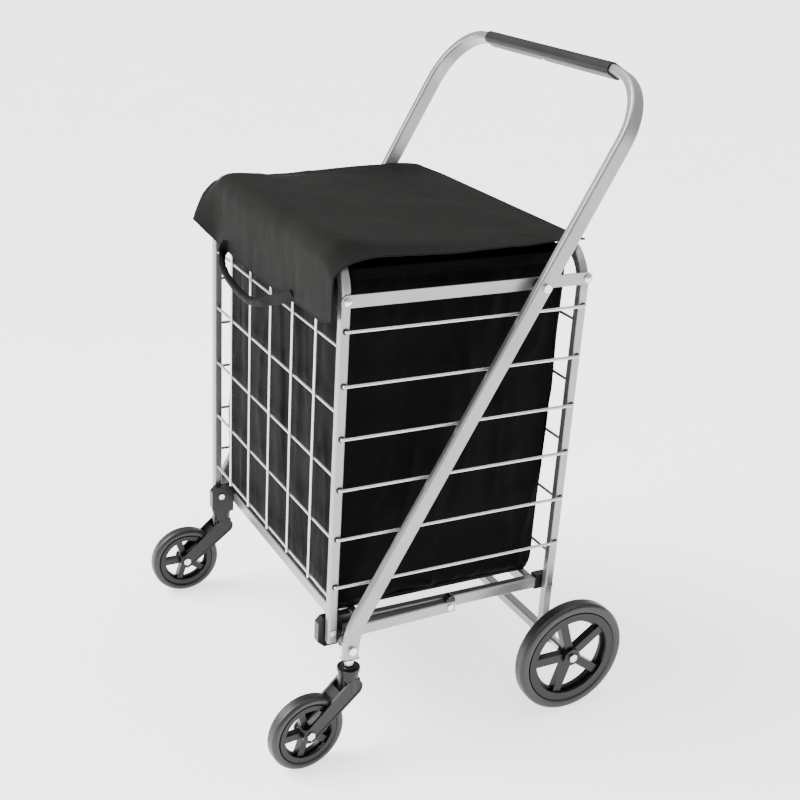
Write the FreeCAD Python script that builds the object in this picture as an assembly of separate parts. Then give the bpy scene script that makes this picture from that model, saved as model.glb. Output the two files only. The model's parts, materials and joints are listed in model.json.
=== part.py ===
import FreeCAD, Part
import os
import math
from FreeCAD import Vector as V, Rotation, Placement

os.makedirs("parts", exist_ok=True)

# Folding personal shopping cart.  Millimetres, +Z up.
# Working axes: X = 0 at the outer face of the left frame legs and -WIDTH at the right ones,
# Y = 0 at the front frame and DEPTH at the rear frame, Z = 0 at the base pivots.
# Everything is shifted at the end so that the origin is at the bottom centre of the bounding box.

# ---- driving dimensions ----
WIDTH = 520.0            # over the legs of the front and rear frames
DEPTH = 390.0            # between the pivots of the front and rear frames
FLOOR = -205.0           # floor below the base pivots
SHIFT = V(260.0, -194.25, 205.0)

LEG_X, LEG_Y, LEG_R, WALL = 15.0, 14.0, 3.0, 1.2      # frame tube section, corner radius, wall
FRONT_TOP, REAR_TOP = 585.0, 565.0     # centres of the top cross bars
FRAME_BEND = 60.0        # centre-line radius at the top corners
FRONT_FOOT, REAR_FOOT = -18.0, -117.0

ROD_D, ROD_PITCH, ROD_N, ROD_X = 5.0, 80.0, 6, 3.6    # side rods
GRID_Z = (54.0, 154.0, 254.0, 354.0, 452.0)           # horizontal grid wires
GRID_DX = 85.4                                        # spacing of the vertical grid wires
WIRE_D = 4.5

BAR_Z, BAR_H, BAR_T, BAR_X = 523.0, 18.0, 3.0, 0.3    # flat bars on top of the sides
HB_Y = 302.0                                          # handle pivot on the flat bars

H_X, H_A, H_B, H_R = 21.0, 13.3, 25.5, 4.0            # handle tube: leg axis, section, corner radius
H_FOOT_Y, H_FOOT_Z, H_KNEE_Z = 20.0, -35.0, 6.0
H_TOP_Y, H_TOP_Z = 457.1, 808.0
H_BEND_LOW, H_BEND_TOP = 120.0, 97.0
GRIP_X0, GRIP_X1, GRIP_A, GRIP_B = -430.0, -79.0, 20.0, 31.0

YOKE_Y, YOKE_Z = 20.0, -19.0                          # yoke pivot on the handle legs
YOKE_END_Y, YOKE_END_Z = 204.0, -2.0                  # yoke rivet beside the base rails

CASTER_R, CASTER_HW, CASTER_TRAIL, CASTER_Y = 62.0, 11.5, 72.0, 18.5
CASTER_SWIVEL = (7.0, 0.0)                            # how the left and right casters stand
REAR_R, REAR_HW, REAR_X, AXLE_Y, AXLE_Z = 98.0, 12.5, 52.0, 406.0, -107.0

FIT = 0.08               # radial running clearance at pins

MID = -WIDTH / 2
X = V(1, 0, 0)
nodes = {}


def box(x0, x1, y0, y1, z0, z1):
    return Part.makeBox(x1 - x0, y1 - y0, z1 - z0, V(x0, y0, z0))


def cyl(p0, p1, r):
    d = p1 - p0
    return Part.makeCylinder(r, d.Length, p0, d)


def xcyl(x0, x1, y, z, r):
    return cyl(V(x0, y, z), V(x1, y, z), r)


def hexx(x0, x1, y, z, across):
    r = across / math.sqrt(3)
    pts = [V(x0, y + r * math.cos(math.radians(60 * i + 30)), z + r * math.sin(math.radians(60 * i + 30))) for i in range(7)]
    return Part.Face(Part.makePolygon(pts)).extrude(V(x1 - x0, 0, 0))


def fuse(parts):
    s = parts[0]
    if len(parts) > 1:
        s = s.multiFuse(parts[1:])
    try:
        s = s.removeSplitter()
    except Exception:
        pass
    return s


def mirrored(s):
    return s.mirror(V(MID, 0, 0), X)


def put(name, shape):
    nodes[name] = shape


def both(s):
    return Part.makeCompound([s, mirrored(s)])


def profile(p, a_dir, a, b_dir, b, r):
    """Rounded rectangle, a along a_dir by b along b_dir, centred on p."""
    r = min(r, a / 2 - 0.05, b / 2 - 0.05)

    def q(i, j):
        return p + a_dir * i + b_dir * j

    ha, hb, k = a / 2, b / 2, r * (1 - math.sqrt(0.5))
    corners = [(1, 1), (-1, 1), (-1, -1), (1, -1)]
    edges = []
    ends = []
    for sx, sy in corners:
        one, two = q(sx * ha, sy * (hb - r)), q(sx * (ha - r), sy * hb)
        if sx * sy < 0:
            one, two = two, one
        ends.append((one, q(sx * (ha - k), sy * (hb - k)), two))
    for i, (one, mid, two) in enumerate(ends):
        edges.append(Part.Arc(one, mid, two).toShape())
        edges.append(Part.LineSegment(two, ends[(i + 1) % 4][0]).toShape())
    return Part.Face(Part.Wire(edges))


def sweep(pts, radii, a_dir, a, b, r):
    """Constant section along straight runs joined by tangent arcs."""
    out, cur = [], pts[0]
    t = (pts[1] - pts[0]).normalize()
    a_dir = V(a_dir)
    b_dir = t.cross(a_dir)
    for i in range(1, len(pts)):
        if i == len(pts) - 1:
            out.append(profile(cur, a_dir, a, b_dir, b, r).extrude(pts[i] - cur))
            break
        t1 = (pts[i + 1] - pts[i]).normalize()
        ax = t.cross(t1).normalize()
        ang = t.getAngle(t1)
        tl = radii[i - 1] * math.tan(ang / 2)
        start = pts[i] - t * tl
        out.append(profile(cur, a_dir, a, b_dir, b, r).extrude(start - cur))
        centre = start + ax.cross(t) * radii[i - 1]
        out.append(profile(start, a_dir, a, b_dir, b, r).revolve(centre, ax, math.degrees(ang)))
        rot = Rotation(ax, math.degrees(ang))
        a_dir, b_dir = rot.multVec(a_dir), rot.multVec(b_dir)
        cur, t = pts[i] + t1 * tl, t1
    return fuse(out)


def tube(pts, radii, a_dir, a, b, r, wall=WALL):
    return sweep(pts, radii, a_dir, a, b, r).cut(
        sweep(pts, radii, a_dir, a - 2 * wall, b - 2 * wall, max(r - wall, 0.6)))


def poly_yz(pts, x0, x1):
    face = Part.Face(Part.makePolygon([V(x0, y, z) for y, z in pts + pts[:1]]))
    return face.extrude(V(x1 - x0, 0, 0))


# ---- front and rear frames: inverted U tubes ----
def frame_tube(y, foot, top):
    lx = -LEG_X / 2
    pts = [V(lx, y, foot), V(lx, y, top), V(-WIDTH - lx, y, top), V(-WIDTH - lx, y, foot)]
    t = tube(pts, [FRAME_BEND, FRAME_BEND], X, LEG_X, LEG_Y, LEG_R)
    cuts = []
    for k in range(1, ROD_N + 1):
        cuts.append(xcyl(-3, 1, y, k * ROD_PITCH, 4.0))
    cuts.append(xcyl(-3, 1, y, BAR_Z, 3.05))
    cuts.append(xcyl(-LEG_X - 1, 1, y, 0, 3.05))
    cuts += [mirrored(c) for c in cuts]
    return t.cut(Part.makeCompound(cuts))


def end_caps(y, foot):
    c = sweep([V(-7.5, y, foot - 2.0), V(-7.5, y, foot)], [], X, LEG_X, LEG_Y, LEG_R)
    c = c.fuse(box(-7.5 - 6.2, -7.5 + 6.2, y - 5.7, y + 5.7, foot, foot + 9))
    return both(c)


def grommets(y):
    out = []
    for k in range(1, ROD_N + 1):
        z = k * ROD_PITCH
        g = xcyl(-1.2, 0, y, z, 3.95).fuse(xcyl(0, 0.7, y, z, 4.8)).fuse(xcyl(-2.2, -1.2, y, z, 4.6))
        g = g.cut(xcyl(-4, 3, y, z, ROD_D / 2 + FIT))
        out += [g, mirrored(g)]
    return Part.makeCompound(out)


def top_rivet(y):
    r = xcyl(-9, 3.65, y, BAR_Z, 3.0).fuse(xcyl(3.65, 5.0, y, BAR_Z, 6.0))
    dome = Part.makeSphere(9.0, V(-1.2, y, BAR_Z)).common(xcyl(5.0, 9.0, y, BAR_Z, 6.0))
    return both(r.fuse(dome).removeSplitter())


def base_rivet(y):
    r = xcyl(-32.0, 1.6, y, 0, 3.0).fuse(xcyl(0, 1.6, y, 0, 5.2)).fuse(xcyl(-33.0, -30.8, y, 0, 5.2))
    return both(r.removeSplitter())


def grid(yh, yv, top):
    r = WIRE_D / 2
    parts = []
    for z in GRID_Z:
        parts.append(xcyl(-WIDTH + LEG_X, -LEG_X, yh, z, r))
    for i in range(-2, 3):
        x = -258.0 + i * GRID_DX
        parts.append(cyl(V(x, yv, GRID_Z[0] - 3), V(x, yv, top - LEG_X / 2), r))
    return fuse(parts)


put("front_frame_tube", frame_tube(0, FRONT_FOOT, FRONT_TOP))
put("front_end_caps", end_caps(0, FRONT_FOOT))
put("front_rod_grommets", grommets(0))
put("front_top_rivets", top_rivet(0))
put("front_base_rivets", base_rivet(0))
put("front_grid", grid(-1.2, -4.7, FRONT_TOP))

put("rear_frame_tube", frame_tube(DEPTH, REAR_FOOT, REAR_TOP))
put("rear_end_caps", end_caps(DEPTH, REAR_FOOT))
put("rear_rod_grommets", grommets(DEPTH))
put("rear_top_rivets", top_rivet(DEPTH))
put("rear_base_rivets", base_rivet(DEPTH))
put("rear_grid", grid(DEPTH + 1.2, DEPTH + 4.7, REAR_TOP))

# ---- rear axle: square cross tube behind the legs, with a stub bolt at each end ----
axle_w, axle_h = 17.0, 16.0
at = sweep([V(0, AXLE_Y, AXLE_Z), V(-WIDTH, AXLE_Y, AXLE_Z)], [], V(0, 1, 0), axle_w, axle_h, 2.5)
at = at.cut(sweep([V(1, AXLE_Y, AXLE_Z), V(-WIDTH - 1, AXLE_Y, AXLE_Z)], [], V(0, 1, 0), axle_w - 2.4, axle_h - 2.4, 1.3))
put("rear_axle_tube", at)
bolt = xcyl(-24, REAR_X + REAR_HW + 0.4, AXLE_Y, AXLE_Z, 5.0)
bolt = bolt.fuse(xcyl(0, REAR_X - REAR_HW - 0.6, AXLE_Y, AXLE_Z, 8.0))
bolt = bolt.fuse(xcyl(-20, 0, AXLE_Y, AXLE_Z, 6.6))
bolt = bolt.fuse(hexx(REAR_X + REAR_HW + 0.4, REAR_X + REAR_HW + 3.4, AXLE_Y, AXLE_Z, 13.0))
put("rear_axle_bolts", both(bolt.removeSplitter()))


# ---- wheels ----
def ring(x0, x1, y, z, r_out, r_in, edge):
    """Ring of rounded section about an axle along X."""
    p = profile(V((x0 + x1) / 2, y, z + (r_out + r_in) / 2), X, x1 - x0, V(0, 0, 1), r_out - r_in, edge)
    return p.revolve(V(0, y, z), X, 360)


def wheel(x, y, z, r, hw, tyre_t, bore, hub_r, spoke_w, hub_hw):
    tyre = ring(x - hw, x + hw, y, z, r, r - tyre_t, min(6.5, hw * 0.55))
    rim_o = r - tyre_t
    rim_t = 0.13 * r
    parts = [xcyl(x - hw + 1.5, x + hw - 1.5, y, z, rim_o).cut(xcyl(x - hw, x + hw, y, z, rim_o - rim_t)),
             xcyl(x - hub_hw, x + hub_hw, y, z, hub_r)]
    for i in range(5):
        s = box(x - hw * 0.55, x + hw * 0.55, y - spoke_w / 2, y + spoke_w / 2, z + hub_r * 0.6, z + rim_o - rim_t * 0.5)
        s.rotate(V(x, y, z), X, 72 * i + 18)
        parts.append(s)
    web = xcyl(x - 1.5, x + 1.5, y, z, rim_o - rim_t * 0.5).cut(xcyl(x - 2, x + 2, y, z, rim_o - rim_t - 0.06 * r))
    parts.append(web)
    rim = fuse(parts).cut(xcyl(x - hw - 9, x + hw + 9, y, z, bore))
    return tyre, rim


ty, rm = wheel(REAR_X, AXLE_Y, AXLE_Z, REAR_R, REAR_HW, 17.0, 5.0 + FIT, 15.0, 15.0, REAR_HW - 0.2)
put("rear_tyre_left", ty)
put("rear_rim_left", rm)
put("rear_tyre_right", mirrored(ty))
put("rear_rim_right", mirrored(rm))

# ---- side rods: straight bar with both ends turned into the legs ----
for k in range(1, ROD_N + 1):
    z = k * ROD_PITCH
    r = ROD_D / 2
    parts = [cyl(V(ROD_X, 0, z), V(ROD_X, DEPTH, z), r)]
    for y in (0, DEPTH):
        parts += [xcyl(-8, ROD_X, y, z, r), Part.makeSphere(r, V(ROD_X, y, z))]
    put("side_rods_%d" % k, both(fuse(parts)))

# ---- flat bars on top of the sides ----
h = BAR_H / 2
bar = box(BAR_X, BAR_X + BAR_T, 0, DEPTH, BAR_Z - h, BAR_Z + h)
bar = fuse([bar, xcyl(BAR_X, BAR_X + BAR_T, 0, BAR_Z, h), xcyl(BAR_X, BAR_X + BAR_T, DEPTH, BAR_Z, h)])
bar = bar.cut(Part.makeCompound([xcyl(-1, 9, 0, BAR_Z, 3 + FIT), xcyl(-1, 9, DEPTH, BAR_Z, 3 + FIT), xcyl(-1, 9, HB_Y, BAR_Z, 4 + FIT)]))
put("top_bar_left", bar)
put("top_bar_right", mirrored(bar))

# ---- handle frame: one tall U tube, leaning back, with a knee at each foot ----
hx2 = -WIDTH - H_X
pts = [V(H_X, H_FOOT_Y, H_FOOT_Z), V(H_X, H_FOOT_Y, H_KNEE_Z), V(H_X, H_TOP_Y, H_TOP_Z),
       V(hx2, H_TOP_Y, H_TOP_Z), V(hx2, H_FOOT_Y, H_KNEE_Z), V(hx2, H_FOOT_Y, H_FOOT_Z)]
hand = tube(pts, [H_BEND_LOW, H_BEND_TOP, H_BEND_TOP, H_BEND_LOW], X, H_A, H_B, H_R)
hc = [xcyl(10, 32, HB_Y, BAR_Z, 4.05), xcyl(10, 32, YOKE_Y, YOKE_Z, 4.05)]
hand = hand.cut(Part.makeCompound(hc + [mirrored(c) for c in hc]))
put("handle_frame_tube", hand)
u = (V(0, H_TOP_Y, H_TOP_Z) - V(0, H_FOOT_Y, H_KNEE_Z)).normalize()
g0, g1 = V(GRIP_X0, H_TOP_Y, H_TOP_Z), V(GRIP_X1, H_TOP_Y, H_TOP_Z)
grip = sweep([g0, g1], [], u, GRIP_A, GRIP_B, 8.5).cut(sweep([g0 - X * 5, g1 + X * 5], [], u, H_A + 0.1, H_B + 0.1, H_R))
stud0 = V(-261, H_TOP_Y, H_TOP_Z) - u * (GRIP_A / 2)
put("handle_grip", grip.cut(cyl(stud0 - u * 1, stud0 + u * 6, 3.5)))
put("grip_screw", cyl(stud0 + u * 3.2, stud0 - u * 1.2, 3.4))

sp = xcyl(3.65, 14.3, HB_Y, BAR_Z, 8.0).cut(xcyl(0, 20, HB_Y, BAR_Z, 4.05))
put("handle_pivot_spacers", both(sp))
pb = xcyl(-1, 28.2, HB_Y, BAR_Z, 4.0).fuse(xcyl(-4.0, -0.05, HB_Y, BAR_Z, 7.0)).fuse(hexx(27.8, 32.6, HB_Y, BAR_Z, 12.0))
put("handle_pivot_bolts", both(pb.removeSplitter()))
yb = xcyl(-8.6, 28.2, YOKE_Y, YOKE_Z, 4.0).fuse(hexx(27.8, 32.4, YOKE_Y, YOKE_Z, 12.0)).fuse(xcyl(-1.1, 14.3, YOKE_Y, YOKE_Z, 6.5))
put("yoke_pivot_bolts", both(yb.removeSplitter()))
cz = H_FOOT_Z
plug = box(H_X - 5.35, H_X + 5.35, H_FOOT_Y - 11.4, H_FOOT_Y + 11.4, cz, cz + 6).fuse(
    box(H_X - H_A / 2, H_X + H_A / 2, H_FOOT_Y - H_B / 2, H_FOOT_Y + H_B / 2, cz - 1.6, cz))
plug = plug.cut(cyl(V(H_X, CASTER_Y, -60), V(H_X, CASTER_Y, 0), 5.05))
put("caster_plugs", both(plug))
stem = cyl(V(H_X, CASTER_Y, -72), V(H_X, CASTER_Y, -29.5), 5.0).fuse(cyl(V(H_X, CASTER_Y, -46), V(H_X, CASTER_Y, -36.7), 7.5))
put("caster_stems", both(stem.removeSplitter()))


# ---- casters ----
def caster(side):
    cy, cz = CASTER_Y - CASTER_TRAIL, FLOOR + CASTER_R
    x = H_X
    ar = 12.5
    big = V(0, 20.5, -82.0)
    a = V(0, cy, cz)
    d = big - a
    base_ang = math.atan2(d.z, d.y)
    R1, R2 = ar, 15.0
    off = math.acos((R1 - R2) / d.Length)
    pt = []
    for sgn, c, rr in ((1, a, R1), (-1, a, R1), (-1, big, R2), (1, big, R2)):
        an = base_ang + sgn * off
        pt.append((c.y + rr * math.cos(an), c.z + rr * math.sin(an)))

    def plate(x0, x1, shrink=0.0):
        q = []
        for sgn, c, rr in ((1, a, R1 - shrink), (-1, a, R1 - shrink), (-1, big, R2 - shrink), (1, big, R2 - shrink)):
            an = base_ang + sgn * off
            q.append((c.y + rr * math.cos(an), c.z + rr * math.sin(an)))
        return fuse([poly_yz(q, x0, x1), xcyl(x0, x1, a.y, a.z, R1 - shrink), xcyl(x0, x1, big.y, big.z, R2 - shrink)])

    arms = []
    for sx in (1, -1):
        x0, x1 = x + sx * 12.2, x + sx * 16.0
        p = plate(min(x0, x1), max(x0, x1))
        po = plate(min(x + sx * 15.2, x + sx * 17), max(x + sx * 15.2, x + sx * 17), 3.0)
        arms.append(p.cut(po.cut(xcyl(x - 20, x + 20, a.y, a.z, 8.5))))
    crown = box(x - 12.3, x + 12.3, 5.0, 33.0, -92.0, -70.0)
    cap_hub = cyl(V(x, CASTER_Y, -90.0), V(x, CASTER_Y, -56.0), 16.0)
    fork = fuse(arms + [crown, cap_hub])
    fork = fork.cut(cyl(V(x, CASTER_Y, -73.0), V(x, CASTER_Y, -40), 5.0 + FIT))
    fork = fork.cut(xcyl(x - 20, x + 20, a.y, a.z, 4.05))
    cap = cyl(V(x, CASTER_Y, -56.0), V(x, CASTER_Y, -50.5), 17.8).fuse(cyl(V(x, CASTER_Y, -50.5), V(x, CASTER_Y, -48.0), 13.0))
    cap = cap.cut(cyl(V(x, CASTER_Y, -60), V(x, CASTER_Y, -40), 5.0 + FIT)).removeSplitter()
    axle = xcyl(x - 16, x + 16, a.y, a.z, 4.0)
    axle = axle.fuse(hexx(x + 16.0, x + 17.6, a.y, a.z, 12.0)).fuse(hexx(x - 17.6, x - 16.0, a.y, a.z, 12.0))
    tyre, rim = wheel(x, a.y, a.z, CASTER_R, CASTER_HW, 13.0, 4.0 + FIT, 11.0, 11.0, CASTER_HW - 0.1)
    out = []
    for s in (fork, cap, axle.removeSplitter(), tyre, rim):
        s = s.copy()
        if side == 0:
            s.rotate(V(x, CASTER_Y, 0), V(0, 0, 1), CASTER_SWIVEL[0])
        else:
            s = mirrored(s)
            s.rotate(V(-WIDTH - x, CASTER_Y, 0), V(0, 0, 1), CASTER_SWIVEL[1])
        out.append(s)
    return out


for side, word in ((0, "left"), (1, "right")):
    for name, s in zip(("caster_fork_", "caster_cap_", "caster_axle_", "caster_tyre_", "caster_rim_"), caster(side)):
        put(name + word, s)

# ---- yoke: low U tube pivoted on the handle legs, carrying the front of the base ----
ty0, ty1 = V(-7.5, 30.0, -7.0), V(-7.5, YOKE_END_Y + 9, YOKE_END_Z)
arm_dir = (ty1 - ty0).normalize()
bar = sweep([V(-1.5, 30.0, -7.0), V(-WIDTH + 1.5, 30.0, -7.0)], [], V(0, 1, 0), 12.0, 20.0, 2.5)
bar = bar.cut(sweep([V(2.0, 30.0, -7.0), V(-WIDTH - 2.0, 30.0, -7.0)], [], V(0, 1, 0), 9.6, 17.6, 1.3))
arm = sweep([ty0 + arm_dir * 6.2, ty1], [], X, 12.0, 20.0, 2.5)
arm = arm.cut(sweep([ty0 + arm_dir * 5, ty1 + arm_dir * 2], [], X, 9.6, 17.6, 1.3))
arm = arm.cut(xcyl(-20, 5, YOKE_END_Y, YOKE_END_Z, 3.05))
lug = fuse([xcyl(-7.5, -1.5, YOKE_Y, YOKE_Z, 10.0), poly_yz([(12.0, -13.0), (28.0, -3.0), (40.0, 0.0), (40.0, -17.0), (23.0, -28.3)], -7.5, -1.5)])
lug = lug.cut(box(-20, 5, 24.0, 36.0, -17.0, 3.0)).cut(box(-20, 5, 36.0, 60.0, -16.6, 4.0))
lug = fuse([s for s in lug.Solids if s.Volume > 200]) if len(lug.Solids) > 1 else lug
lug = lug.cut(xcyl(-20, 5, YOKE_Y, YOKE_Z, 4.0 + FIT))
end_wall = box(-2.7, -1.5, 25.3, 34.7, -15.7, 1.7)
yoke = fuse([bar, arm, mirrored(arm), end_wall, mirrored(end_wall)])
put("yoke_tube", yoke)
put("yoke_lugs", both(lug))
er = xcyl(-15.9, -1.0, YOKE_END_Y, YOKE_END_Z, 3.0).fuse(xcyl(-1.5, 0.5, YOKE_END_Y, YOKE_END_Z, 5.5))
put("yoke_end_rivets", both(er.removeSplitter()))
bump = fuse([box(-13.4, -1.6, 196.0, 212.0, 8.1, 13.0), xcyl(-13.4, -1.6, 204.0, 13.0, 5.0)])
put("yoke_bumpers", both(bump))

# ---- base: welded ring of tube with deck wires, hook blocks in front and pivot blocks behind ----
bx0, bx1 = -30.3, -16.3
rail = sweep([V(-23.3, 45.0, -2.0), V(-23.3, 372.0, -2.0)], [], X, 14.0, 20.0, 2.5)
rail_in = sweep([V(-23.3, 44.0, -2.0), V(-23.3, 373.0, -2.0)], [], X, 11.6, 17.6, 1.3)
cross = []
cross_in = []
for yc in (52.0, 365.0):
    cross.append(sweep([V(-30.3, yc, -2.0), V(-WIDTH + 30.3, yc, -2.0)], [], V(0, 1, 0), 14.0, 20.0, 2.5))
    cross_in.append(sweep([V(-30.0, yc, -2.0), V(-WIDTH + 30.0, yc, -2.0)], [], V(0, 1, 0), 11.6, 17.6, 1.3))
railh = rail.cut(rail_in)
wires = [cyl(V(x, 58.9, 5.0), V(x, 358.1, 5.0), 2.2) for x in (-85, -143, -201, -260, -319, -377, -435)]
base = fuse([railh, mirrored(railh)] + [c.cut(ci) for c, ci in zip(cross, cross_in)] + wires)
put("base_frame", base)

hook = poly_yz([(-17, 10), (-9, 18), (37, 18), (45, 11), (45, -17.4), (36.8, 3.8), (23.2, 3.8), (23.2, -32), (-6, -32), (-17, -22)], bx0, bx1)
hook = hook.cut(xcyl(bx0 - 1, bx1 + 1, 0, 0, 3.0 + FIT))
put("front_hook_blocks", both(hook))
rb = poly_yz([(372.0, 11.5), (394, 11.5), (400, 6), (400, -8), (394, -14), (372.0, -14)], bx0, bx1)
rb = rb.cut(xcyl(bx0 - 1, bx1 + 1, DEPTH, 0, 3.0 + FIT))
put("rear_pivot_blocks", both(rb))


# ---- soft parts: open-topped bag, lid with front flap, carry strap ----
def rect(x0, x1, y0, y1, z):
    return Part.makePolygon([V(x0, y0, z), V(x1, y0, z), V(x1, y1, z), V(x0, y1, z), V(x0, y0, z)])


bag = Part.makeLoft([rect(-486, -34, 12, 376, 12), rect(-492, -28, 10, 379, 556)], True, True)
bag_in = Part.makeLoft([rect(-483.5, -36.5, 14.5, 373.5, 14.5), rect(-489.5, -30.5, 12.5, 376.5, 557)], True, True)
put("bag", bag.cut(bag_in))

lid = poly_yz([(-12.5, 494), (-10.5, 494), (-10.5, 593.3), (7, 593.3), (383, 573.4), (398, 573.4), (398, 575.4),
               (383, 575.4), (7, 595.3), (-12.5, 595.3)], -WIDTH + 2, -1)
put("lid_panel", lid)
s_pts = [V(-408, -18.0, 492), V(-392, -27.0, 468), V(-190, -27.0, 468), V(-174, -18.0, 492)]
strap = sweep(s_pts, [26, 26], V(0, 1, 0).cross((s_pts[1] - s_pts[0]).normalize()).cross((s_pts[1] - s_pts[0]).normalize()).normalize(), 7.0, 18.0, 3.0)
put("carry_strap", strap)

# ---- write every node ----
bb = None
for name, s in nodes.items():
    s = s.copy()
    s.translate(SHIFT)
    b = s.optimalBoundingBox(False, False) if hasattr(s, "optimalBoundingBox") else s.BoundBox
    if bb is None:
        bb = FreeCAD.BoundBox(b)
    else:
        bb.add(b)
    if not s.isValid():
        print("INVALID", name)
    print("%-22s solids %2d  vol %9.1f cm3  z %7.1f..%7.1f  y %7.1f..%7.1f  x %7.1f..%7.1f" % (name, len(s.Solids), s.Volume / 1000, b.ZMin, b.ZMax, b.YMin, b.YMax, b.XMin, b.XMax))
    s.exportStep("parts/%s.step" % name)
print("nodes", len(nodes), "bbox", bb)
print("centre offset x %.3f y %.3f zmin %.3f" % ((bb.XMin + bb.XMax) / 2, (bb.YMin + bb.YMax) / 2, bb.ZMin))
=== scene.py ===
import bpy, bmesh, math, json, random
from mathutils import Vector, Matrix, noise


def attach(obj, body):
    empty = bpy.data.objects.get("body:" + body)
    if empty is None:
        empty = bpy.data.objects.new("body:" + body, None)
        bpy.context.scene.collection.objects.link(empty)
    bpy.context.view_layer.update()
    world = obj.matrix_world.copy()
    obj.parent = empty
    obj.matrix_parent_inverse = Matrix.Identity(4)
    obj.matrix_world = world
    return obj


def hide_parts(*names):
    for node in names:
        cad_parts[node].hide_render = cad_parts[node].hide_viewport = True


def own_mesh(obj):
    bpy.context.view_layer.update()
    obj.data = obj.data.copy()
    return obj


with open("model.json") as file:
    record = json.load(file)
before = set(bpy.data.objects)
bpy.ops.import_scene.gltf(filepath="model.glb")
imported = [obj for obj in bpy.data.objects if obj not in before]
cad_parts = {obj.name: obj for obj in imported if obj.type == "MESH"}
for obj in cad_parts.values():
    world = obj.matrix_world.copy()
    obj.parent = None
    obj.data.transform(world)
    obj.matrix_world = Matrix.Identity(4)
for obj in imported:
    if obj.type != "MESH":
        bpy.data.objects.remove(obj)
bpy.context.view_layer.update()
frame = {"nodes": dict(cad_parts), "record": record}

random.seed(7)
OX, OY, OZ = 0.260, -0.19425, 0.205      # working axes -> row frame


def R(x, y, z):
    """Working millimetres to row metres."""
    return Vector((x / 1000 + OX, y / 1000 + OY, z / 1000 + OZ))


# ------------------------------------------------------------------ materials
def new_mat(name):
    m = bpy.data.materials.new(name)
    m.use_nodes = True
    nt = m.node_tree
    b = nt.nodes["Principled BSDF"]
    return m, nt, b


def add(nt, kind, **vals):
    n = nt.nodes.new(kind)
    for k, v in vals.items():
        if k in n.inputs.keys() if hasattr(n.inputs, "keys") else False:
            n.inputs[k].default_value = v
    return n


def coords(nt, scale=(1, 1, 1), rot=(0, 0, 0)):
    tc = nt.nodes.new("ShaderNodeTexCoord")
    mp = nt.nodes.new("ShaderNodeMapping")
    mp.inputs["Scale"].default_value = scale
    mp.inputs["Rotation"].default_value = rot
    nt.links.new(tc.outputs["Object"], mp.inputs["Vector"])
    return mp.outputs["Vector"]


def noise_tex(nt, vec, scale, detail=4, rough=0.5):
    n = nt.nodes.new("ShaderNodeTexNoise")
    n.inputs["Scale"].default_value = scale
    n.inputs["Detail"].default_value = detail
    n.inputs["Roughness"].default_value = rough
    nt.links.new(vec, n.inputs["Vector"])
    return n.outputs["Fac"]


def ramp(nt, fac, stops):
    r = nt.nodes.new("ShaderNodeValToRGB")
    e = r.color_ramp.elements
    e[0].position, e[0].color = stops[0][0], (*stops[0][1], 1)
    e[1].position, e[1].color = stops[-1][0], (*stops[-1][1], 1)
    for p, c in stops[1:-1]:
        x = e.new(p)
        x.color = (*c, 1)
    nt.links.new(fac, r.inputs["Fac"])
    return r.outputs["Color"]


def maprange(nt, fac, a, b):
    m = nt.nodes.new("ShaderNodeMapRange")
    m.inputs["To Min"].default_value = a
    m.inputs["To Max"].default_value = b
    nt.links.new(fac, m.inputs["Value"])
    return m.outputs["Result"]


def math_node(nt, op, a, b):
    m = nt.nodes.new("ShaderNodeMath")
    m.operation = op
    for i, v in enumerate((a, b)):
        if isinstance(v, (int, float)):
            m.inputs[i].default_value = v
        elif v is not None:
            nt.links.new(v, m.inputs[i])
    return m.outputs[0]


def bump(nt, bsdf, height, strength, dist):
    b = nt.nodes.new("ShaderNodeBump")
    b.inputs["Strength"].default_value = strength
    b.inputs["Distance"].default_value = dist
    nt.links.new(height, b.inputs["Height"])
    nt.links.new(b.outputs["Normal"], bsdf.inputs["Normal"])


def edge_wear(nt):
    """Lighter on convex edges, from the mesh's pointiness."""
    g = nt.nodes.new("ShaderNodeNewGeometry")
    return g.outputs["Pointiness"]


def metal(name, dark, light, rough, metallic, grain=700, grain_scale=(1, 1, 1), spots=None, bump_s=0.15):
    m, nt, b = new_mat(name)
    v = coords(nt, grain_scale)
    big = noise_tex(nt, v, 9, 5)
    fine = noise_tex(nt, v, grain, 3, 0.6)
    col = ramp(nt, big, [(0.3, dark), (0.7, light)])
    mix = nt.nodes.new("ShaderNodeMixRGB")
    mix.blend_type = "MULTIPLY"
    mix.inputs["Fac"].default_value = 0.35
    nt.links.new(col, mix.inputs["Color1"])
    nt.links.new(ramp(nt, fine, [(0.3, (0.75, 0.75, 0.75)), (0.7, (1, 1, 1))]), mix.inputs["Color2"])
    nt.links.new(mix.outputs["Color"], b.inputs["Base Color"])
    b.inputs["Metallic"].default_value = metallic
    r = math_node(nt, "ADD", maprange(nt, big, rough - 0.05, rough + 0.05), maprange(nt, fine, -0.04, 0.04))
    nt.links.new(r, b.inputs["Roughness"])
    bump(nt, b, fine, bump_s, 0.0002)
    return m


M = {}
M["frame_silver"] = metal("frame_paint", (0.285, 0.275, 0.268), (0.35, 0.34, 0.332), 0.34, 0.75, 900)
M["frame_silver"].node_tree.nodes["Principled BSDF"].inputs["Coat Weight"].default_value = 0.25
M["frame_silver"].node_tree.nodes["Principled BSDF"].inputs["Coat Roughness"].default_value = 0.25
M["wire"] = metal("bright_wire", (0.60, 0.59, 0.58), (0.72, 0.71, 0.70), 0.26, 0.85, 500)
M["zinc"] = metal("zinc_plate", (0.66, 0.66, 0.64), (0.82, 0.82, 0.80), 0.26, 1.0, 350, bump_s=0.3)


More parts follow.
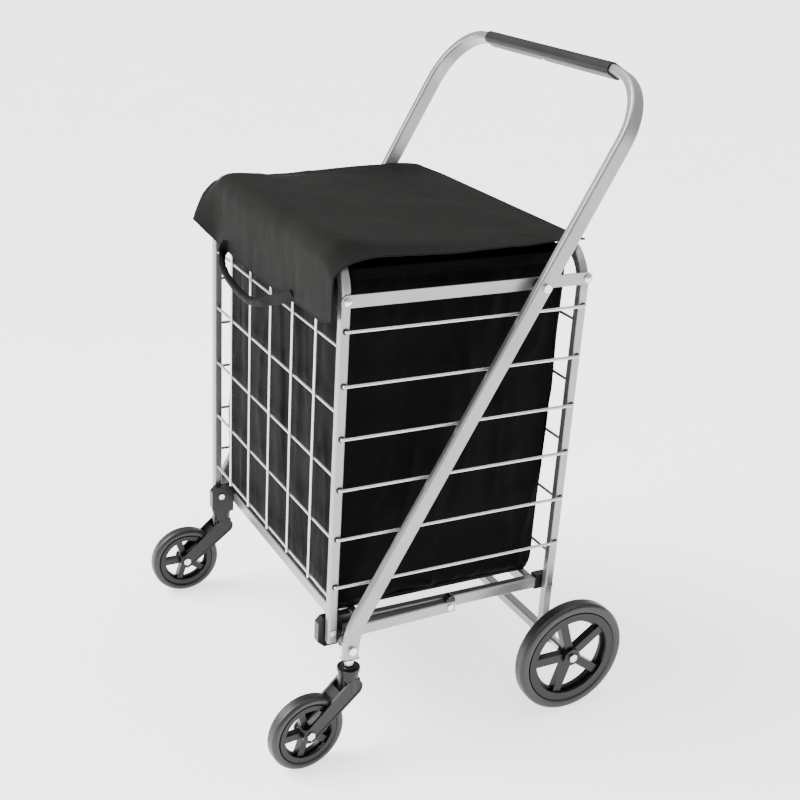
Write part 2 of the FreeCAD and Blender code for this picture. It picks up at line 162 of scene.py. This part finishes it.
def plastic(name, base, rough, bump_s=0.12, grain=1400, mottling=0.35):
    m, nt, b = new_mat(name)
    v = coords(nt)
    big = noise_tex(nt, v, 18, 4)
    fine = noise_tex(nt, v, grain, 2, 0.6)
    lo = tuple(c * (1 - mottling) for c in base)
    hi = tuple(c * (1 + mottling) for c in base)
    nt.links.new(ramp(nt, big, [(0.3, lo), (0.7, hi)]), b.inputs["Base Color"])
    nt.links.new(math_node(nt, "ADD", maprange(nt, big, rough - 0.06, rough + 0.06), maprange(nt, fine, -0.05, 0.05)), b.inputs["Roughness"])
    b.inputs["Specular IOR Level"].default_value = 0.3
    bump(nt, b, fine, bump_s, 0.0002)
    return m


M["black_plastic"] = plastic("moulded_plastic", (0.005, 0.0049, 0.0049), 0.30)
M["wheel_plastic"] = plastic("wheel_plastic", (0.004, 0.0039, 0.0039), 0.32)
M["grip"] = plastic("grip_plastic", (0.0045, 0.0045, 0.0046), 0.45, 0.35, 900)


def tyre_mat():
    m, nt, b = new_mat("tyre_rubber")
    v = coords(nt)
    big = noise_tex(nt, v, 14, 5)
    fine = noise_tex(nt, v, 1100, 3, 0.6)
    nt.links.new(ramp(nt, big, [(0.3, (0.005, 0.005, 0.0051)), (0.7, (0.010, 0.010, 0.0101))]), b.inputs["Base Color"])
    nt.links.new(math_node(nt, "ADD", maprange(nt, big, 0.36, 0.5), maprange(nt, fine, -0.06, 0.06)), b.inputs["Roughness"])
    b.inputs["Specular IOR Level"].default_value = 0.5
    bump(nt, b, fine, 0.25, 0.0002)
    return m


M["tyre"] = tyre_mat()


def fabric(name, dark, light, rough, pitch=0.9, weave=0.5, sheen=0.25, crease=1.0, spec=0.08):
    """Woven cloth: two crossed thread waves in object space, with broad tone and crease variation."""
    m, nt, b = new_mat(name)
    v = coords(nt)
    sep = nt.nodes.new("ShaderNodeSeparateXYZ")
    nt.links.new(v, sep.inputs[0])
    f = 2 * math.pi * 1000 / pitch
    s1 = math_node(nt, "SINE", math_node(nt, "MULTIPLY", math_node(nt, "ADD", sep.outputs["X"], sep.outputs["Y"]), f), None)
    s2 = math_node(nt, "SINE", math_node(nt, "MULTIPLY", math_node(nt, "ADD", sep.outputs["Z"], math_node(nt, "MULTIPLY", sep.outputs["Y"], 0.73)), f), None)
    threads = math_node(nt, "MULTIPLY", s1, s2)
    big = noise_tex(nt, v, 7, 6, 0.55)
    mid = noise_tex(nt, v, 60, 4, 0.6)
    fine = noise_tex(nt, v, 900, 3, 0.65)
    mixf = math_node(nt, "ADD", math_node(nt, "MULTIPLY", big, 0.6), math_node(nt, "ADD", math_node(nt, "MULTIPLY", mid, 0.25), math_node(nt, "MULTIPLY", fine, 0.15)))
    nt.links.new(ramp(nt, mixf, [(0.34, dark), (0.66, light)]), b.inputs["Base Color"])
    nt.links.new(maprange(nt, mid, rough - 0.06, rough + 0.06), b.inputs["Roughness"])
    b.inputs["Sheen Weight"].default_value = sheen
    b.inputs["Sheen Roughness"].default_value = 0.45
    b.inputs["Specular IOR Level"].default_value = spec
    h = math_node(nt, "ADD", math_node(nt, "MULTIPLY", threads, weave * 0.12),
                  math_node(nt, "ADD", math_node(nt, "MULTIPLY", fine, 0.25), math_node(nt, "MULTIPLY", mid, 0.9 * crease)))
    bump(nt, b, h, 0.35, 0.0012)
    return m


M["bag_fabric"] = fabric("bag_cloth", (0.0006, 0.0005, 0.0005), (0.0018, 0.0016, 0.0016), 0.55, sheen=0.0, spec=0.035)
M["lid_fabric"] = fabric("lid_cloth", (0.0052, 0.0052, 0.0047), (0.0098, 0.0098, 0.0091), 0.7, sheen=0.004, spec=0.06)
M["strap_fabric"] = fabric("strap_cloth", (0.003, 0.003, 0.003), (0.006, 0.006, 0.006), 0.65, pitch=2.0, weave=3.0, sheen=0.01, spec=0.06)
M["thread"] = fabric("hem_thread", (0.012, 0.012, 0.012), (0.026, 0.026, 0.026), 0.7, pitch=0.5, sheen=0.05)

slot_of = {s["node"]: s["material_slot"] for s in frame["record"]["subparts"]}
for name, o in frame["nodes"].items():
    key = slot_of.get(name, "frame_silver")
    if name.startswith("caster_cap"):
        key = "black_plastic"
    mat = M[key]
    if len(o.material_slots):
        for s in o.material_slots:
            s.material = mat
    else:
        o.data.materials.append(mat)


# ------------------------------------------------------------------ helpers
def mesh_obj(name, verts, faces, mat, smooth=True):
    me = bpy.data.meshes.new(name)
    me.from_pydata([tuple(v) for v in verts], [], faces)
    me.validate()
    me.update()
    o = bpy.data.objects.new(name, me)
    bpy.context.scene.collection.objects.link(o)
    me.materials.append(mat)
    if smooth:
        for p in me.polygons:
            p.use_smooth = True
    return o


def apply_mods(o):
    bpy.context.view_layer.update()
    dg = bpy.context.evaluated_depsgraph_get()
    me = bpy.data.meshes.new_from_object(o.evaluated_get(dg))
    o.modifiers.clear()
    old = o.data
    o.data = me
    bpy.data.meshes.remove(old)
    for p in me.polygons:
        p.use_smooth = True
    return o


def solidify(o, t, offset=0.0):
    m = o.modifiers.new("thick", "SOLIDIFY")
    m.thickness = t
    m.offset = offset
    m.use_even_offset = True
    return apply_mods(o)


def interp(pts, s):
    """Smooth curve through (parameter, values) rows, Catmull-Rom."""
    n = len(pts)
    t = s * (n - 1)
    i = min(int(t), n - 2)
    f = t - i
    p0, p1, p2, p3 = pts[max(i - 1, 0)], pts[i], pts[i + 1], pts[min(i + 2, n - 1)]
    return tuple(0.5 * ((2 * b) + (-a + c) * f + (2 * a - 5 * b + 4 * c - d) * f * f + (-a + 3 * b - 3 * c + d) * f ** 3)
                 for a, b, c, d in zip(p0, p1, p2, p3))


def tube_along(name, pts, rx, rz, mat, seg=14, up=Vector((0, 0, 1)), power=2.0, closed=False, caps=True):
    """Super-elliptic tube along points; rx sideways, rz along up."""
    verts, faces = [], []
    n = len(pts)
    for i, p in enumerate(pts):
        if closed:
            a, b = pts[(i - 1) % n], pts[(i + 1) % n]
        else:
            a, b = pts[max(i - 1, 0)], pts[min(i + 1, n - 1)]
        t = (b - a).normalized()
        side = t.cross(up)
        if side.length < 1e-6:
            side = t.cross(Vector((1, 0, 0)))
        side.normalize()
        upv = side.cross(t).normalized()
        rrx = rx(i / (n - 1)) if callable(rx) else rx
        rrz = rz(i / (n - 1)) if callable(rz) else rz
        for k in range(seg):
            an = 2 * math.pi * k / seg
            c, s = math.cos(an), math.sin(an)
            e = 2 / power
            verts.append(p + side * (math.copysign(abs(c) ** e, c) * rrx) + upv * (math.copysign(abs(s) ** e, s) * rrz))
    rings = n if closed else n - 1
    for i in range(rings):
        j = (i + 1) % n
        for k in range(seg):
            faces.append((i * seg + k, i * seg + (k + 1) % seg, j * seg + (k + 1) % seg, j * seg + k))
    if not closed and caps:
        faces.append(tuple(range(seg))[::-1])
        faces.append(tuple((n - 1) * seg + k for k in range(seg)))
    return mesh_obj(name, verts, faces, mat)


def sm(a, b, x):
    t = max(0.0, min(1.0, (x - a) / (b - a)))
    return t * t * (3 - 2 * t)


# ------------------------------------------------------------------ bag
def bag_point(u, h, off=0.0):
    """u runs round the bag from the middle of the left side, h from 0 at the bottom to 1 at the rim."""
    x0 = -486 - 6 * h
    x1 = -34 + 6 * h
    y0 = 12 - 2 * h
    y1 = 375 + 3 * h
    r = 13.0
    w, d = x1 - x0 - 2 * r, y1 - y0 - 2 * r
    arc = math.pi * r / 2
    per = 2 * (w + d) + 4 * arc
    s = (u % 1.0) * per
    segs = [("l", d / 2, None), ("a", arc, 0), ("l", w, None), ("a", arc, 1), ("l", d, None), ("a", arc, 2), ("l", w, None), ("a", arc, 3), ("l", d / 2, None)]
    corners = [(x1 - r, y1 - r), (x0 + r, y1 - r), (x0 + r, y0 + r), (x1 - r, y0 + r)]
    starts = [(x1, (y0 + y1) / 2, 0, 1), None, (x1 - r, y1, -1, 0), None, (x0, y1 - r, 0, -1), None, (x0 + r, y0, 1, 0), None, (x1, y0 + r, 0, 1)]
    normals = [(1, 0), None, (0, 1), None, (-1, 0), None, (0, -1), None, (1, 0)]
    flat = 0.0
    for i, (kind, length, c) in enumerate(segs):
        if s <= length or i == len(segs) - 1:
            if kind == "l":
                px, py, dx, dy = starts[i]
                nx, ny = normals[i]
                flat = math.sin(math.pi * min(1, s / length if i not in (0, 8) else (0.5 + s / length / 2 if i == 0 else s / length / 2)))
                px, py = px + dx * s, py + dy * s
            else:
                an = math.pi / 2 * c + s / r
                cx, cy = corners[c]
                nx, ny = math.cos(an), math.sin(an)
                px, py = cx + nx * r, cy + ny * r
            break
        s -= length
    # folds: tall soft pleats, a few diagonal pulls and a slight belly between the posts
    z = 12 + 543 * h
    q = Vector((px * 0.011, py * 0.011, z * 0.0022))
    pleat = noise.noise(q * 1.9) * 5.2 + noise.noise(Vector((px * 0.035, py * 0.035, z * 0.004 + 9))) * 3.2
    wrinkle = noise.noise(Vector((px * 0.03 + z * 0.012, py * 0.03, z * 0.02))) * 1.6
    ridge = 1 - abs(noise.noise(Vector((px * 0.022 + 4, py * 0.022, z * 0.0035))) * 2)
    pleat += 2.6 * max(0, ridge) ** 4
    belly = 5.0 * flat * math.sin(math.pi * min(1, h * 1.05)) ** 0.8
    calm = sm(0.0, 0.03, h) * (1 - 0.7 * sm(0.95, 1.0, h))
    side_gain = 0.75 if abs(ny) > 0.5 else 1.15
    d_out = (pleat + wrinkle) * calm * side_gain - 2.0 + belly * (0.35 if abs(ny) > 0.5 else 1.0) + off
    if ny < -0.5:
        d_out = min(d_out, 3.5)
    if ny > 0.5:
        d_out = min(d_out * 0.6, 2.0)
    # the foot of the bag rounds under
    under = sm(0.06, 0.0, h)
    d_out -= 7.0 * under * under
    return R(px + nx * d_out, py + ny * d_out, z + 0.0)


NU, NH = 300, 90
verts, faces = [], []
for j in range(NH):
    h = (j / (NH - 1)) ** 1.15
    for i in range(NU):
        verts.append(bag_point(i / NU, h))
for j in range(NH - 1):
    for i in range(NU):
        a, b = j * NU + i, j * NU + (i + 1) % NU
        faces.append((a, b, b + NU, a + NU))
# floor of the bag: rings shrinking to the middle
prev = list(range(NU))
cen = R(-260, 180, 12.5)
for k, f in enumerate((0.93, 0.8, 0.6, 0.4, 0.2)):
    ring = []
    for i in range(NU):
        v = verts[i]
        p = cen.lerp(v, f)
        p.z = OZ + (12.6 + 0.8 * noise.noise(p * 14)) / 1000
        ring.append(len(verts))
        verts.append(p)
    for i in range(NU):
        faces.append((prev[(i + 1) % NU], prev[i], ring[i], ring[(i + 1) % NU]))
    prev = ring
verts.append(cen)
for i in range(NU):
    faces.append((prev[(i + 1) % NU], prev[i], len(verts) - 1))
bag = mesh_obj("bag_shell", verts, faces, M["bag_fabric"])
solidify(bag, 0.0011)
# rim hem, bottom piping and corner seams
rim = tube_along("bag_rim_hem", [bag_point(i / 240, 0.992) for i in range(240)], 0.0016, 0.0085, M["bag_fabric"], 12, power=4, closed=True)
pipe = tube_along("bag_bottom_piping", [bag_point(i / 240, 0.012, 0.4) for i in range(240)], 0.0019, 0.0019, M["strap_fabric"], 10, closed=True)
bag_parts = [bag, rim, pipe]
per = 2 * (439.0 + 335.0)
for k, u0 in enumerate((0.1075, 0.3925, 0.6075, 0.8925)):
    best = u0
    pts = [bag_point(best, 0.02 + 0.965 * i / 60, 0.5) for i in range(61)]
    seam = tube_along("bag_corner_seam_%d" % (k + 1), pts, 0.0011, 0.0011, M["bag_fabric"], 8, up=Vector((1, 1, 0)).normalized())
    bag_parts.append(seam)
for o in bag_parts:
    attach(o, "rear_frame")
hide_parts("bag")

# ------------------------------------------------------------------ lid
CENTRE = [(398, 575.0), (384, 575.6), (340, 576.3), (285, 577.2), (215, 579.6), (145, 583.6), (85, 588.2), (42, 592.8), (18, 595.0), (4, 594.8), (-5, 591.8), (-10.5, 585), (-13, 572), (-14, 550), (-14.5, 520), (-15, 484)]
LEFT = [(398, 574.6), (378, 575.6), (336, 576.4), (285, 576.2), (212, 576.4), (142, 577.6), (80, 580.6), (45, 581.6), (22, 579.3), (5, 575.2), (-6, 570.2), (-12, 564), (-14.8, 555), (-15.8, 540), (-16.2, 520), (-16.5, 494)]
RIGHT = [(384, 578.5), (364, 582.0), (330, 583.0), (280, 582.0), (210, 580.2), (140, 578.3), (80, 576.5), (45, 575.6), (22, 574.6), (5, 571.5), (-6, 565.5), (-12, 559), (-18, 549), (-24, 536), (-29.5, 523), (-35, 508)]


def lid_point(a, s, lift=0.0):
    """a from 0 at the left edge to 1 at the right edge, s from 0 at the rear to 1 at the flap's hem."""
    x_left = -1.0 - 24.0 * (1 - sm(0.0, 0.5, s))
    x = x_left + (-519.0 - x_left) * a
    c, l, r = interp(CENTRE, s), interp(LEFT, s), interp(RIGHT, s)
    wl = (1 - sm(0.0, 0.10, a)) ** 1.3
    wr = (1 - sm(0.0, 0.13, 1 - a)) ** 1.2
    wc = 1 - wl - wr
    y = c[0] * wc + l[0] * wl + r[0] * wr
    z = c[1] * wc + l[1] * wl + r[1] * wr
    top = 1 - sm(0.55, 0.68, s)
    flap = sm(0.66, 0.82, s)
    # shallow sags and pulls over the top, held at the bars
    free = math.sin(math.pi * min(1.0, max(0.0, s / 0.55))) if s < 0.55 else 0.0
    n1 = noise.noise(Vector((x * 0.006, y * 0.011, 1.3)))
    n2 = noise.noise(Vector((x * 0.018 + y * 0.012, y * 0.02, 4.1)))
    n3 = 1 - abs(noise.noise(Vector((x * 0.008 - y * 0.004, y * 0.016, 7.7)))) * 2
    z += top * free * (3.2 * n1 + 1.1 * n2 + 1.0 * max(0, n3) ** 4 - 0.4)
    # flap: long soft waves, hem line uneven
    wave = noise.noise(Vector((x * 0.010, 2.2, z * 0.004))) * 3.4 + noise.noise(Vector((x * 0.03, 5.0, z * 0.01))) * 1.2
    y -= flap * (2.2 + abs(wave) + 1.5 * flap * flap)
    hem_z = 6.0 * math.sin(math.pi * min(1, max(0, (a - 0.12) / 0.8))) ** 2
    z -= flap * hem_z * (s - 0.66) / 0.34
    x += flap * (-2.0 * wl + 1.0 * wr) + (1.2 * noise.noise(Vector((y * 0.02, z * 0.02, 3)))) * (wl + wr)
    return R(x, y, z + lift)


NA, NS = 150, 190
verts = [lid_point(i / (NA - 1), j / (NS - 1)) for j in range(NS) for i in range(NA)]
faces = [(j * NA + i, (j + 1) * NA + i, (j + 1) * NA + i + 1, j * NA + i + 1) for j in range(NS - 1) for i in range(NA - 1)]
lid = mesh_obj("lid_sheet", verts, faces, M["lid_fabric"])
lid_area = sum(p.area for p in lid.data.polygons)
solidify(lid, 0.0013, 0.0)


def lid_normal(a, s):
    e = 0.002
    p = lid_point(a, s)
    du = lid_point(min(1, a + e), s) - lid_point(max(0, a - e), s)
    dv = lid_point(a, min(1, s + e)) - lid_point(a, max(0, s - e))
    n = dv.cross(du).normalized()
    return n


# check the sense of the normal once: outward is up on the top
sgn = 1.0 if lid_normal(0.5, 0.2).z > 0 else -1.0


def on_lid(a, s, off):
    return lid_point(a, s) + lid_normal(a, s) * (sgn * off)


def stitches(name, path, length=0.0032, gap=0.0018, r=0.00035):
    """A row of raised thread stitches along a path of points."""
    dist = [0.0]
    for i in range(1, len(path)):
        dist.append(dist[-1] + (path[i] - path[i - 1]).length)

    def at(d):
        lo, hi = 0, len(dist) - 1
        while hi - lo > 1:
            m = (lo + hi) // 2
            if dist[m] <= d:
                lo = m
            else:
                hi = m
        f = (d - dist[lo]) / max(1e-9, dist[hi] - dist[lo])
        return path[lo].lerp(path[hi], f)

    verts, faces = [], []
    d = 0.0
    while d + length < dist[-1]:
        p0, p1 = at(d), at(d + length)
        t = (p1 - p0).normalized()
        s = t.orthogonal().normalized()
        w = t.cross(s)
        base = len(verts)
        for f, rr in ((0.0, 0.45), (0.25, 1.0), (0.75, 1.0), (1.0, 0.45)):
            c = p0.lerp(p1, f)
            for k in range(6):
                an = math.pi / 3 * k
                verts.append(c + (s * math.cos(an) + w * math.sin(an)) * (r * rr))
        for q in range(3):
            for k in range(6):
                faces.append((base + q * 6 + k, base + q * 6 + (k + 1) % 6, base + (q + 1) * 6 + (k + 1) % 6, base + (q + 1) * 6 + k))
        faces.append(tuple(base + k for k in range(6))[::-1])
        faces.append(tuple(base + 18 + k for k in range(6)))
        d += length + gap
    return mesh_obj(name, verts, faces, M["thread"])


# hems: a folded band round the edges and a row of stitches inside it
edge = [(0.0, s / 120) for s in range(0, 121)] + [(a / 120, 1.0) for a in range(1, 121)] + [(1.0, 1 - s / 120) for s in range(1, 121)]
hem_pts = [lid_point(a, s) for a, s in edge]
hem = tube_along("lid_edge_binding", hem_pts, 0.0014, 0.0014, M["lid_fabric"], 8)
inset = 0.0115
st_path = [on_lid(0.022, s / 200, 0.0008) for s in range(2, 194)] + [on_lid(0.022 + 0.956 * a / 150, 0.965, 0.0008) for a in range(151)] + [on_lid(0.978, s / 200, 0.0008) for s in range(193, 1, -1)]
stitch = stitches("lid_hem_stitches", st_path)
stitch2 = stitches("lid_flap_fold_stitches", [on_lid(0.03 + 0.94 * a / 150, 0.03, 0.0008) for a in range(151)])

# loops of the same cloth that hold the lid on the rear top bar
loops = []
for k, xc in enumerate((-129.9, -215.3, -300.7, -386.1)):
    vs, fs = [], []
    nx_, na_ = 9, 40
    for i in range(nx_):
        for j in range(na_):
            an = 2 * math.pi * j / na_
            rr = 10.6 + 0.35 * math.cos(3 * an) + (0.3 if i in (0, nx_ - 1) else 0)
            vs.append(R(xc - 17 + 34 * i / (nx_ - 1), 390 + rr * math.cos(an), 565 + rr * math.sin(an) * 0.92 + 0.2))
    for i in range(nx_ - 1):
        for j in range(na_):
            fs.append((i * na_ + j, i * na_ + (j + 1) % na_, (i + 1) * na_ + (j + 1) % na_, (i + 1) * na_ + j))
    lo = mesh_obj("lid_hinge_loop_%d" % (k + 1), vs, fs, M["lid_fabric"])
    solidify(lo, 0.0012)
    loops.append(lo)

# ------------------------------------------------------------------ carry strap
S = [(-409, -19.5, 497), (-413, -24, 484), (-409, -29, 471), (-394, -32, 459), (-365, -33, 449), (-330, -33, 443), (-290, -33, 441), (-255, -32, 445), (-222, -30, 456), (-190, -27, 469), (-160, -24, 481), (-138, -20.5, 492)]
sp = [R(*interp(S, i / 159)) for i in range(160)]


def pad_w(t):
    core = sm(0.10, 0.2, t) * (1 - sm(0.70, 0.80, t))
    return 0.0014 + 0.0040 * core + 0.0003 * core * math.sin(t * 90)


def pad_h(t):
    core = sm(0.10, 0.2, t) * (1 - sm(0.70, 0.80, t))
    return 0.0085 - 0.0020 * core


strap = tube_along("carry_strap_pad", sp, pad_w, pad_h, M["strap_fabric"], 20, up=Vector((0, -0.25, 1)).normalized(), power=2.6)
seam = stitches("carry_strap_stitches", [p + Vector((0, -0.0046, 0.0020)) for p in sp[34:112]], 0.0028, 0.0016, 0.0003)
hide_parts("carry_strap")

lid_parts = [lid, hem, stitch, stitch2] + loops
for o in lid_parts + [strap, seam]:
    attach(o, "lid")
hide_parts("lid_panel")
print("lid area", lid_area, "flat", 0.520 * 0.525)

# ------------------------------------------------------------------ own mesh data copies for the bag and lid pieces
for o in bag_parts:
    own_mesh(o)
for o in lid_parts + [strap, seam]:
    if o in loops:
        continue
    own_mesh(o)

# ------------------------------------------------------------------ stage
bpy.ops.mesh.primitive_plane_add(size=30, location=(0, 0, -0.0002))
floor = bpy.context.object
floor.name = "floor"
fm, nt, b = new_mat("pale_floor")
v = coords(nt)
nt.links.new(ramp(nt, noise_tex(nt, v, 3, 3), [(0.3, (0.90, 0.90, 0.90)), (0.7, (0.93, 0.93, 0.93))]), b.inputs["Base Color"])
b.inputs["Roughness"].default_value = 0.8
b.inputs["Emission Color"].default_value = (1, 1, 1, 1)
b.inputs["Emission Strength"].default_value = 1.7
floor.data.materials.append(fm)

w = bpy.data.worlds.new("studio") if bpy.context.scene.world is None else bpy.context.scene.world
bpy.context.scene.world = w
w.use_nodes = True
bg = w.node_tree.nodes.get("Background") or w.node_tree.nodes.new("ShaderNodeBackground")
bg.inputs["Color"].default_value = (1, 1, 1, 1)
bg.inputs["Strength"].default_value = 0.75


def area(name, loc, target, size, power):
    l = bpy.data.lights.new(name, "AREA")
    l.shape = "RECTANGLE"
    l.size, l.size_y = size
    l.energy = power
    o = bpy.data.objects.new(name, l)
    bpy.context.scene.collection.objects.link(o)
    o.location = loc
    o.rotation_euler = (Vector(target) - Vector(loc)).to_track_quat("-Z", "Y").to_euler()
    return o


sun = bpy.data.lights.new("sun_key", "SUN")
sun.energy = 5.0
sun.angle = math.radians(40)
so = bpy.data.objects.new("sun_key", sun)
bpy.context.scene.collection.objects.link(so)
so.rotation_euler = Vector((0.42, 0.80, -1.05)).to_track_quat("-Z", "Y").to_euler()
area("key", (-0.9, -2.2, 1.5), (0, 0, 0.5), (1.6, 1.6), 40)
area("top", (0.3, 0.6, 2.8), (0, 0, 0.5), (2.0, 2.0), 30)

cam_d = bpy.data.cameras.new("camera")
cam = bpy.data.objects.new("camera", cam_d)
bpy.context.scene.collection.objects.link(cam)
right = Vector((0.462976, 0.884250, 0.061275))
down = Vector((0.379975, -0.135541, -0.915013))
fwd = Vector((-0.800795, 0.446912, -0.398745))
m = Matrix((right, -down, -fwd)).transposed().to_4x4()
m.translation = Vector((1.74523, -0.71367 + OY, 1.26015))
cam.matrix_world = m
cam_d.sensor_width = 36
cam_d.lens = 57.629
cam_d.shift_x = -0.016687
cam_d.shift_y = 0.038971
cam_d.clip_end = 100
bpy.context.scene.camera = cam
